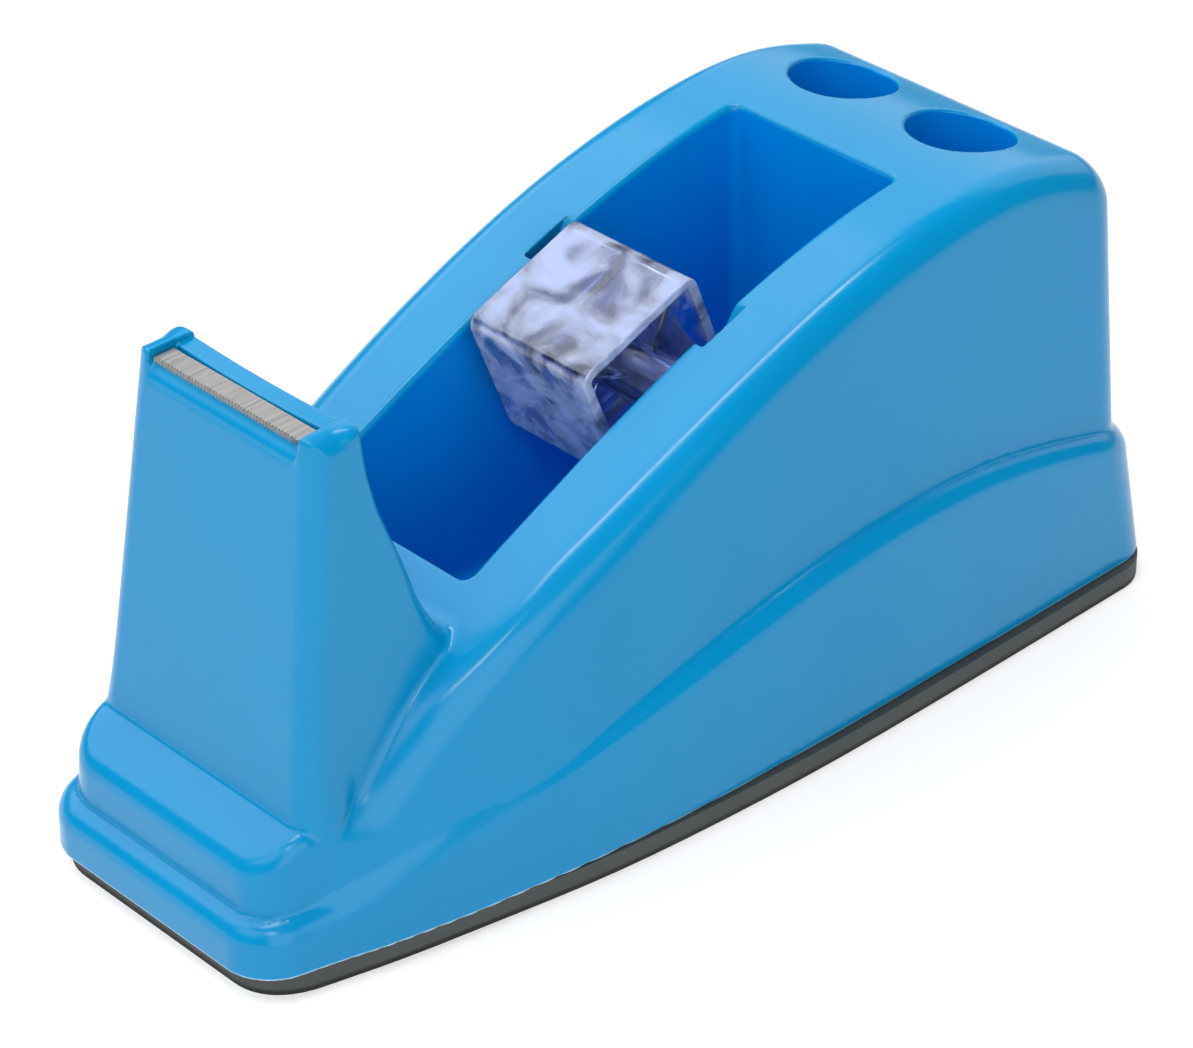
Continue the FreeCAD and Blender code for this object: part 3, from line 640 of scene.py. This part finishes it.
# ------------------------------------------------------------------ clear hub
HUB_SIDE, HUB_R, HUB_HALF, HUB_WALL, HUB_TILT = 19.5, 1.9, 9.8, 1.3, math.radians(21.0)
BOSS_R, BOSS_HALF, BORE_R, WEB_HALF = 3.5, 12.9, 2.06, 0.75


def square_ring(side, r, flat=10, corner=7):
    """Points round a rounded square, evenly parted flats and corners."""
    h = side / 2 - r
    out = []
    for k in range(4):
        a0 = k * math.pi / 2
        c, s = math.cos(a0), math.sin(a0)
        for i in range(flat):                                # the flat whose normal is at a0
            t = -h + 2 * h * i / flat
            out.append(((h + r) * c - t * s, (h + r) * s + t * c))
        for i in range(corner):
            a = a0 + (math.pi / 2) * i / corner
            out.append((h * c - h * s + r * math.cos(a), h * s + h * c + r * math.sin(a)))
    return np.array(out)


def tilted(yz):
    c, s = math.cos(HUB_TILT), math.sin(HUB_TILT)
    return np.stack([AXLE_Y + yz[..., 0] * c - yz[..., 1] * s, AXLE_Z + yz[..., 0] * s + yz[..., 1] * c], -1)


def lathe_like(rings):
    """Closed loop of rings, each a list of points with the same count: a tube with a thick wall."""
    n, m = len(rings), len(rings[0])
    verts = [tuple(p) for r in rings for p in r]
    faces = []
    for i in range(n):
        j = (i + 1) % n
        for k in range(m):
            l = (k + 1) % m
            faces.append((i * m + k, j * m + k, j * m + l, i * m + l))
    return verts, faces


def sink(t, x, size):
    """Shallow waves of a part that has shrunk unevenly in the mould."""
    return size * (math.sin(0.55 * x + 1.9 * t) * math.sin(2.3 * t + 0.4) + 0.6 * math.sin(1.25 * x - 2.7 * t + 1.1) + 0.3 * math.sin(2.2 * x + 5.0 * t))


def hub_sleeve():
    rings = []
    loop = []                                                # (x, inset from the outer face) round the wall's section
    e = 0.28
    n = 22
    for i in range(n + 1):
        x = -(HUB_HALF - e) + 2 * (HUB_HALF - e) * i / n
        loop.append((x, 0.0, 0.02))
    for a in (30, 60, 90):
        loop.append((HUB_HALF - e + e * math.sin(math.radians(a)), e - e * math.cos(math.radians(a)), 0.0))
    for a in (0, 30, 60, 90):
        loop.append((HUB_HALF - e + e * math.cos(math.radians(a)), HUB_WALL - e + e * math.sin(math.radians(a)), 0.0))
    for i in range(1, n):
        x = (HUB_HALF - e) - 2 * (HUB_HALF - e) * i / n
        loop.append((x, HUB_WALL, 0.05))
    for a in (90, 60, 30, 0):
        loop.append((-(HUB_HALF - e) - e * math.cos(math.radians(a)), HUB_WALL - e + e * math.sin(math.radians(a)), 0.0))
    for a in (90, 60, 30):
        loop.append((-(HUB_HALF - e) - e * math.sin(math.radians(a)), e - e * math.cos(math.radians(a)), 0.0))
    for x, inset, wavy in loop:
        r = max(0.75, HUB_R - inset)
        yz = square_ring(HUB_SIDE - 2 * inset, r)
        if wavy:
            m = len(yz)
            w = np.array([sink(2 * math.pi * k / m, x, wavy) for k in range(m)])
            d = yz / np.linalg.norm(yz, axis=1)[:, None]
            w = -np.abs(w) if inset == 0.0 else w
            yz = yz + d * w[:, None]
        p = tilted(yz)
        rings.append([(x, q[0], q[1]) for q in p])
    return lathe_like(rings)


def turned(profile, steps=40, x_mirror=False):
    """Closed section (x, r) turned round the axle."""
    rings = []
    for x, r in profile:
        rings.append([(x, AXLE_Y + r * math.cos(2 * math.pi * k / steps), AXLE_Z + r * math.sin(2 * math.pi * k / steps)) for k in range(steps)])
    return lathe_like(rings)


def hub_tube():
    c = 0.3
    pr = [(-BOSS_HALF + c, BOSS_R)] + [(x, BOSS_R) for x in (-9.0, -4.0, 0.0, 4.0, 9.0)] + [(BOSS_HALF - c, BOSS_R), (BOSS_HALF, BOSS_R - c), (BOSS_HALF, BORE_R + 0.25),
          (BOSS_HALF - 0.25, BORE_R), (0.0, BORE_R), (-BOSS_HALF + 0.25, BORE_R), (-BOSS_HALF, BORE_R + 0.25), (-BOSS_HALF, BOSS_R - c)]
    return turned(pr)


def hub_web():
    """Web across the middle of the sleeve, thicker where it meets the wall and the tube."""
    rings = []
    inner = HUB_SIDE - 2 * HUB_WALL
    sections = [(-0.45, 0.0, 0.2), (-0.45, 0.5, 0.0), (0.45, 0.5, 0.0), (0.45, 0.0, 0.2)]
    outer = square_ring(inner + 0.3, HUB_R - HUB_WALL + 0.4)
    m = len(outer)
    ang = [math.atan2(q[1], q[0]) for q in outer]
    hole = np.array([((BOSS_R - 0.2) * math.cos(a), (BOSS_R - 0.2) * math.sin(a)) for a in ang])
    for x, f, flare in ((-1.0, 0.0, 0), (-WEB_HALF, 0.06, 0), (-WEB_HALF + 0.12, 0.5, 0), (-WEB_HALF, 0.93, 0), (-1.0, 1.0, 0), (1.0, 1.0, 0), (WEB_HALF, 0.93, 0), (WEB_HALF - 0.12, 0.5, 0), (WEB_HALF, 0.06, 0), (1.0, 0.0, 0)):
        yz = outer * (1 - f) + hole * f
        p = tilted(yz)
        rings.append([(x, q[0], q[1]) for q in p])
    return lathe_like(rings)


def hub_ribs():
    """Four thin ribs from the tube towards the corners, rounded on their free edges."""
    verts, faces = [], []
    for a in (45, 135, 225, 315):
        ca2, sa2 = math.cos(math.radians(a)), math.sin(math.radians(a))
        far = HUB_SIDE / 2 * 1.4142 - 2.4
        sec = []
        for x, t in ((-HUB_HALF + 2.0, 0.12), (-HUB_HALF + 2.25, 0.42), (0.0, 0.5), (HUB_HALF - 2.25, 0.42), (HUB_HALF - 2.0, 0.12)):
            ring = [(BOSS_R - 0.4, -t), (far - 1.2, -t), (far - 0.15, -0.6 * t), (far, 0.0), (far - 0.15, 0.6 * t), (far - 1.2, t), (BOSS_R - 0.4, t)]
            yz = np.array([(u * ca2 - v * sa2, u * sa2 + v * ca2) for u, v in ring])
            p = tilted(yz)
            sec.append([(x, q[0], q[1]) for q in p])
        base = len(verts)
        m = len(sec[0])
        for s in sec:
            verts += s
        for i in range(len(sec) - 1):
            for k in range(m):
                l = (k + 1) % m
                faces.append((base + i * m + k, base + i * m + l, base + (i + 1) * m + l, base + (i + 1) * m + k))
        faces.append(tuple(base + k for k in range(m))[::-1])
        faces.append(tuple(base + (len(sec) - 1) * m + k for k in range(m)))
    return verts, faces


def joined(parts):
    verts, faces = [], []
    for v0, f0 in parts:
        n0 = len(verts)
        verts += [tuple(p) for p in v0]
        faces += [tuple(i + n0 for i in f) for f in f0]
    return verts, faces


def smooth_piece(name, verts, faces, mat, body, slot, bevel_angle=35.0):
    """New piece from points in millimetres in the body's own place."""
    me = bpy.data.meshes.new(name)
    me.from_pydata([(p[0] / 1000.0, (p[1] - DY) / 1000.0, (p[2] + DZ) / 1000.0) for p in verts], [], [list(f) for f in faces])
    bm = bmesh.new()
    bm.from_mesh(me)
    bmesh.ops.recalc_face_normals(bm, faces=bm.faces)
    bm.to_mesh(me)
    bm.free()
    me.polygons.foreach_set("use_smooth", [True] * len(me.polygons))
    me.set_sharp_from_angle(angle=math.radians(bevel_angle))
    me.update()
    ob = bpy.data.objects.new(name, me)
    scene.collection.objects.link(ob)
    dress(ob, mat)
    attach(ob, body)
    return ob



# ------------------------------------------------------------------ pieces
v, q = body_mesh()
me = bpy.data.meshes.new("moulding_dense")
me.from_pydata(v.tolist(), [], q.tolist())
dense = bpy.data.objects.new("moulding_dense", me)
scene.collection.objects.link(dense)
mod = dense.modifiers.new("fewer_faces", "DECIMATE")
mod.ratio = 0.26
graph = bpy.context.evaluated_depsgraph_get()
me2 = bpy.data.meshes.new_from_object(dense.evaluated_get(graph))
bpy.data.objects.remove(dense)
bpy.data.meshes.remove(me)
me2.name = "moulded_body"
count = len(me2.vertices)
co = np.empty(count * 3)
me2.vertices.foreach_get("co", co)
co = co.reshape(-1, 3)
nrm = gradient(co, 0.12)
nrm /= np.maximum(np.linalg.norm(nrm, axis=1), 1e-9)[:, None]
# how far inside the well or a pen hole each point lies: the mask of the painted shade there
below = rim(co[:, 1])[0] - co[:, 2]
wall = (np.abs(co[:, 0]) > WELL_HALF - 0.6) | (co[:, 1] > 107.0)
in_well = (np.abs(co[:, 0]) < WELL_HALF + 0.25) & (co[:, 1] > 37.5) & (co[:, 1] < 108.8)
well_shade_mask = np.where(in_well, np.where(wall, ramp(below, 0.35, 0.85), ramp(co[:, 1], 52.0, 72.0)), 0.0)
in_pen = np.hypot(np.abs(co[:, 0]) - PEN_X, co[:, 1] - PEN_Y) < PEN_R + 0.2
well_shade_mask = np.maximum(well_shade_mask, np.where(in_pen, ramp(below, 0.2, 0.5), 0.0))
me2.attributes.new("painted_well_shade", "FLOAT", "POINT").data.foreach_set("value", well_shade_mask.astype(np.float32))
co = (co + np.array([0.0, -DY, DZ])) / 1000.0
me2.vertices.foreach_set("co", co.ravel())
me2.update()
me2.polygons.foreach_set("use_smooth", [True] * len(me2.polygons))
me2.normals_split_custom_set_from_vertices(nrm.tolist())
moulding = bpy.data.objects.new("moulded_body", me2)
scene.collection.objects.link(moulding)
print("moulded_body", len(me2.vertices), len(me2.polygons))
dress(moulding, blue_plastic())
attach(moulding, "dispenser")
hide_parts("body_shell")

dress(nodes["cutter_blade"], brushed_steel())
clear = clear_plastic()
inner = clear_plastic("clear_plastic_core", 0.05)
sleeve = smooth_piece("hub_sleeve", *hub_sleeve(), clear, "hub", "hub_clear", 60.0)
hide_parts("hub_drum")
# where the sleeve is made paler and hazier: its two ends and, less, the face towards the cutter, where the paleness
# is painted light standing in for light passing through the sleeve
pts = np.array([tuple(p.co) for p in sleeve.data.vertices]) * 1000.0 + np.array([0.0, DY, -DZ])
c, s = math.cos(HUB_TILT), math.sin(HUB_TILT)
towards = (pts[:, 1] - AXLE_Y) * c + (pts[:, 2] - AXLE_Z) * s
pale_haze_painted_light_mask = np.maximum(0.5 * (np.abs(pts[:, 0]) > HUB_HALF - 0.2), 0.55 * (towards < -HUB_SIDE / 2 + 0.5))
sleeve.data.attributes.new("pale_haze_painted_light", "FLOAT", "POINT").data.foreach_set("value", pale_haze_painted_light_mask.astype(np.float32))
smooth_piece("hub_core", *joined([hub_tube(), hub_web(), hub_ribs()]), inner, "hub", "hub_clear", 40.0)
dress(nodes["hub_pin"], inner)
dress(nodes["antislip_pad"], sheet_rubber())
dress(nodes["bottom_plate"], plain_grained("plate_plastic_grey", (0.05, 0.055, 0.06), (0.07, 0.075, 0.08), 0.6))
dress(nodes["ballast_block"], plain_grained("ballast_cast_iron", (0.10, 0.095, 0.09), (0.2, 0.19, 0.18), 0.6, 500.0, 0.8))
dress(nodes["bottom_screws"], brushed_steel("screw_zinc_steel", (900, 900, 900), (0.6, 0.6, 0.62)))
